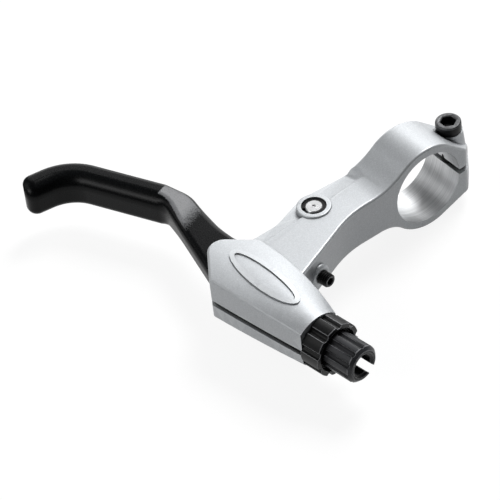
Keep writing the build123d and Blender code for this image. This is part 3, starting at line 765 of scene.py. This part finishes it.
def flat_tip(around, x, root):
    """Rings of a screw's flat end, each (x, points, share of the worn and highlit edge colour)."""
    return [(x, round_ring(around, root), 0.0), (x, round_ring(around, root / 2), 0.0)]


def hexagon_socket(around, top, flats, mouth, depth):
    """Rings of a socket: its chamfered mouth, worn by the key and given a painted highlight, and its wall down to
    the floor.
    """
    return [
        (top, hexagon_ring(around, flats + 2 * mouth), 1.0),
        (top - mouth, hexagon_ring(around, flats), 1.0),
        (top - depth, hexagon_ring(around, flats), 0.0),
    ]


def add_rings(work, rings, layer, outward):
    """Joins rings of equal count, each (x, points, share of the worn and highlit edge colour), and closes the last
    with a fan.
    """
    rows = [[work.verts.new((x, *point)) for point in points] for x, points, worn_and_highlit in rings]
    for row, after, ring in zip(rows, rows[1:], rings[1:]):
        for i in range(len(row)):
            quad = [row[i - 1], row[i], after[i], after[i - 1]]
            face = work.faces.new(quad if outward else quad[::-1])
            face[layer] = ring[2]
    last = rows[-1]
    hub = work.verts.new((rings[-1][0], 0.0, 0.0))
    for i in range(len(last)):
        fan = [last[i - 1], last[i], hub]
        work.faces.new(fan if outward else fan[::-1])


def screw_mesh(name, thread, near_rings, far_rings):
    """A threaded cylinder with its two ends built from rings; near is the -X end."""
    mesh = thread_mesh(name, thread)
    mesh.materials.clear()
    work = bmesh.new()
    work.from_mesh(mesh)
    layer = work.faces.layers.float.new("rubbed_edge")
    add_rings(work, near_rings, layer, False)
    add_rings(work, far_rings, layer, True)
    bmesh.ops.remove_doubles(work, verts=work.verts, dist=MERGE)
    bmesh.ops.recalc_face_normals(work, faces=work.faces)
    for face in work.faces:
        face.material_index = 0
    return work, mesh


def end_on(direction, middle):
    """Matrix that turns X to a direction and moves the origin to a place."""
    turn = Vector((1, 0, 0)).rotation_difference(direction).to_matrix().to_4x4()
    return Matrix.Translation(middle) @ turn


class LEVER_OT_clamp_bolt(bpy.types.Operator):
    """Socket-head bolt that closes the clamp, with its thread"""

    bl_idname = "lever.clamp_bolt"
    bl_label = "Clamp bolt"

    def execute(self, context):
        sizes = context.scene.lever_threads
        material = black_oxide(context.scene.lever_hardware)
        low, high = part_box("clamp_bolt")
        head_radius = (high.x - low.x) / 2
        shank = high.z - sizes.bolt_head - low.z
        seat = shank / 2
        top = seat + sizes.bolt_head
        around = sizes.around
        root = sizes.bolt_radius - sizes.bolt_depth
        edge = sizes.bolt_edge
        head = [(seat, round_ring(around, root), 0.0), (seat, round_ring(around, head_radius), 0.0)]
        # The head's rounded edge takes the paler edge colour: worn, and a painted highlight
        for step in range(HEAD_STEPS + 1):
            turn = step / HEAD_STEPS * pi / 2
            ring = round_ring(around, head_radius - edge + edge * cos(turn))
            head.append((top - edge + edge * sin(turn), ring, HEAD_WORN_AND_HIGHLIT if step else 0.0))
        head += hexagon_socket(around, top, sizes.bolt_flats, sizes.bolt_mouth, sizes.bolt_socket)
        thread = {
            "Length": shank,
            "Crest Radius": sizes.bolt_radius,
            "Thread Depth": sizes.bolt_depth,
            "Pitch": sizes.bolt_pitch,
            "Around": around,
            "Along": round(shank / sizes.bolt_pitch * sizes.turn_steps),
            "Material": material,
        }
        work, mesh = screw_mesh("bolt_socket_head", thread, flat_tip(around, -seat, root), head)
        middle = Vector(((low.x + high.x) / 2, (low.y + high.y) / 2, low.z + seat))
        bmesh.ops.transform(work, matrix=end_on(UP, middle), verts=work.verts)
        store(work, mesh, [material], SCREW_CREASE)
        keep_piece("bolt_socket_head", mesh, "body", "clamp_bolt")
        return {"FINISHED"}


class LEVER_OT_reach_screw(bpy.types.Operator):
    """Small threaded screw that sets the blade's reach"""

    bl_idname = "lever.reach_screw"
    bl_label = "Reach screw"

    def execute(self, context):
        sizes = context.scene.lever_threads
        material = black_oxide(context.scene.lever_hardware)
        along = Vector(JOINTS["reach_screw_turn"]["axis"])
        low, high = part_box("reach_screw")
        radius = (high.z - low.z) / 2
        run = ((high.x - low.x) - 2 * radius * abs(along.y)) / along.x
        half = run / 2
        around = sizes.around
        root = radius - sizes.reach_depth
        end = [(half, round_ring(around, root), 0.0)]
        end += hexagon_socket(around, half, sizes.reach_flats, sizes.bolt_mouth / 2, sizes.reach_socket)
        thread = {
            "Length": run,
            "Crest Radius": radius,
            "Thread Depth": sizes.reach_depth,
            "Pitch": sizes.reach_pitch,
            "Around": around,
            "Along": round(run / sizes.reach_pitch * sizes.turn_steps),
            "Material": material,
        }
        work, mesh = screw_mesh("reach_screw_threaded", thread, flat_tip(around, -half, root), end)
        bmesh.ops.transform(work, matrix=end_on(along, (low + high) / 2), verts=work.verts)
        store(work, mesh, [material], SCREW_CREASE)
        keep_piece("reach_screw_threaded", mesh, "reach", "reach_screw")
        return {"FINISHED"}


class LEVER_OT_adjuster(bpy.types.Operator):
    """Moulded adjuster and its lock ring, with rounded edges that are paler, worn and with a painted highlight"""

    bl_idname = "lever.adjuster"
    bl_label = "Cable adjuster"

    def execute(self, context):
        settings = context.scene.lever_hardware
        nylon = moulded_nylon("moulded_black_nylon", settings.nylon, settings)
        dulled = moulded_nylon("dulled_black_nylon", settings.worn_nylon, settings)
        worn_and_highlit = moulded_nylon("rubbed_black_nylon", settings.worn_and_highlit_nylon, settings)
        pieces = {
            "lock_ring": ("ring_moulded", "ring", nylon),
            "barrel_adjuster": ("barrel_moulded", "barrel", dulled),
        }
        for node, (name, body, material) in pieces.items():
            work, mesh = merged_mesh(node, name)
            bmesh.ops.dissolve_limit(
                work, angle_limit=FLAT_BEND, verts=work.verts, edges=work.edges, delimit={"NORMAL"}
            )
            store(work, mesh, [material, worn_and_highlit], MOULDED_CREASE)
            piece = keep_piece(name, mesh, body, node)
            rounding = piece.modifiers.new("moulded edge", "BEVEL")
            rounding.width = settings.nylon_edge
            rounding.segments = MOULDED_STEPS
            # The rounded edges take the paler edge material: worn, and a painted highlight
            rounding.material = 1
            rounding.limit_method = "ANGLE"
            rounding.angle_limit = MOULDED_BEND
            rounding.use_clamp_overlap = False
            rounding.harden_normals = True
        return {"FINISHED"}


def floor_paint(settings):
    """Matt pale floor that lights the object less than it shows."""
    material, tree, place, shader = new_material("matt_pale_floor")
    ray = add_node(tree, "ShaderNodeLightPath").outputs
    shown = ray["Is Camera Ray"]
    for kind in ("Is Glossy Ray", "Is Transmission Ray"):
        either = add_node(tree, "ShaderNodeMath", {0: shown, 1: ray[kind]}, operation="MAXIMUM")
        shown = either.outputs["Value"]
    mix = {"Factor": shown, "A": settings.floor_bounce, "B": settings.floor}
    tone = add_node(tree, "ShaderNodeMix", mix, data_type="RGBA")
    tree.links.new(tone.outputs["Result"], shader.inputs["Base Color"])
    glow = add_node(tree, "ShaderNodeMath", {0: shown, 1: settings.floor_glow}, operation="MULTIPLY")
    tree.links.new(glow.outputs["Value"], shader.inputs["Emission Strength"])
    shader.inputs["Emission Color"].default_value = WHITE
    shader.inputs["Roughness"].default_value = 1.0
    shader.inputs["Specular IOR Level"].default_value = 0.0
    return material


def camera_turn(settings):
    """Rotation of the camera from its azimuth, elevation and roll, and the direction back to it."""
    back = Vector(
        (
            sin(settings.azimuth) * cos(settings.elevation),
            -cos(settings.azimuth) * cos(settings.elevation),
            sin(settings.elevation),
        )
    )
    level = Vector((cos(settings.azimuth), sin(settings.azimuth), 0.0))
    right = level * cos(settings.roll) + back.cross(level) * sin(settings.roll)
    return Matrix((right, back.cross(right), back)).transposed().to_4x4(), back


def add_softbox(name, place, size, aim, power):
    """A rectangular area light that faces a point."""
    light = bpy.data.lights.new(name, "AREA")
    light.shape = "RECTANGLE"
    light.size, light.size_y = size
    light.energy = power
    softbox = bpy.data.objects.new(name, light)
    bpy.context.scene.collection.objects.link(softbox)
    softbox.location = place
    softbox.rotation_euler = (Vector(aim) - Vector(place)).to_track_quat("-Z", "Y").to_euler()


class LEVER_OT_stage(bpy.types.Operator):
    """Floor, lights, sky and camera"""

    bl_idname = "lever.stage"
    bl_label = "Stage"

    def execute(self, context):
        scene = context.scene
        settings = scene.lever_stage
        low, high = CAD_BOX
        middle = (low + high) / 2
        work = bmesh.new()
        bmesh.ops.create_circle(work, cap_ends=True, radius=settings.floor_radius, segments=FLOOR_SIDES)
        mesh = bpy.data.meshes.new("floor")
        work.to_mesh(mesh)
        work.free()
        mesh.materials.append(floor_paint(settings))
        floor = bpy.data.objects.new("floor", mesh)
        floor.location = (middle.x, middle.y, low.z - settings.floor_gap)
        scene.collection.objects.link(floor)
        for name, (place, size) in SOFTBOXES.items():
            add_softbox(name, place, size, middle, getattr(settings, name))
        world = bpy.data.worlds.new("plain_sky")
        world.use_nodes = True
        sky = world.node_tree.nodes["Background"].inputs
        sky["Color"].default_value = settings.sky_tint
        sky["Strength"].default_value = settings.sky
        scene.world = world
        turn, back = camera_turn(settings)
        camera = bpy.data.cameras.new("camera")
        camera.lens = settings.lens
        holder = bpy.data.objects.new("camera", camera)
        holder.matrix_world = Matrix.Translation(Vector(settings.aim) + back * settings.distance) @ turn
        scene.collection.objects.link(holder)
        scene.camera = holder
        scene.view_settings.view_transform = "Standard"
        return {"FINISHED"}


class LEVER_PT_finish(bpy.types.Panel):
    """Lists the steps that dress the lever"""

    bl_idname = "LEVER_PT_finish"
    bl_label = "Brake Lever Finish"
    bl_space_type = "VIEW_3D"
    bl_region_type = "UI"
    bl_category = "Lever"

    def draw(self, context):
        for step in STEPS:
            self.layout.operator(step.bl_idname)
        for name, group in SETTINGS.items():
            box = self.layout.box()
            box.label(text=group.__doc__)
            for field in group.__annotations__:
                box.prop(getattr(context.scene, name), field)


STEPS = (
    LEVER_OT_body,
    LEVER_OT_blade,
    LEVER_OT_pivot,
    LEVER_OT_clamp_bolt,
    LEVER_OT_reach_screw,
    LEVER_OT_adjuster,
    LEVER_OT_stage,
)


def register():
    for name, group in SETTINGS.items():
        bpy.utils.register_class(group)
        setattr(bpy.types.Scene, name, PointerProperty(type=group))
    for step in STEPS:
        bpy.utils.register_class(step)
    bpy.utils.register_class(LEVER_PT_finish)


def unregister():
    bpy.utils.unregister_class(LEVER_PT_finish)
    for step in reversed(STEPS):
        bpy.utils.unregister_class(step)
    for name, group in SETTINGS.items():
        delattr(bpy.types.Scene, name)
        bpy.utils.unregister_class(group)


def main():
    register()
    bpy.ops.lever.body()
    bpy.ops.lever.blade()
    bpy.ops.lever.pivot()
    bpy.ops.lever.clamp_bolt()
    bpy.ops.lever.reach_screw()
    bpy.ops.lever.adjuster()
    bpy.ops.lever.stage()


if __name__ == "__main__":
    main()
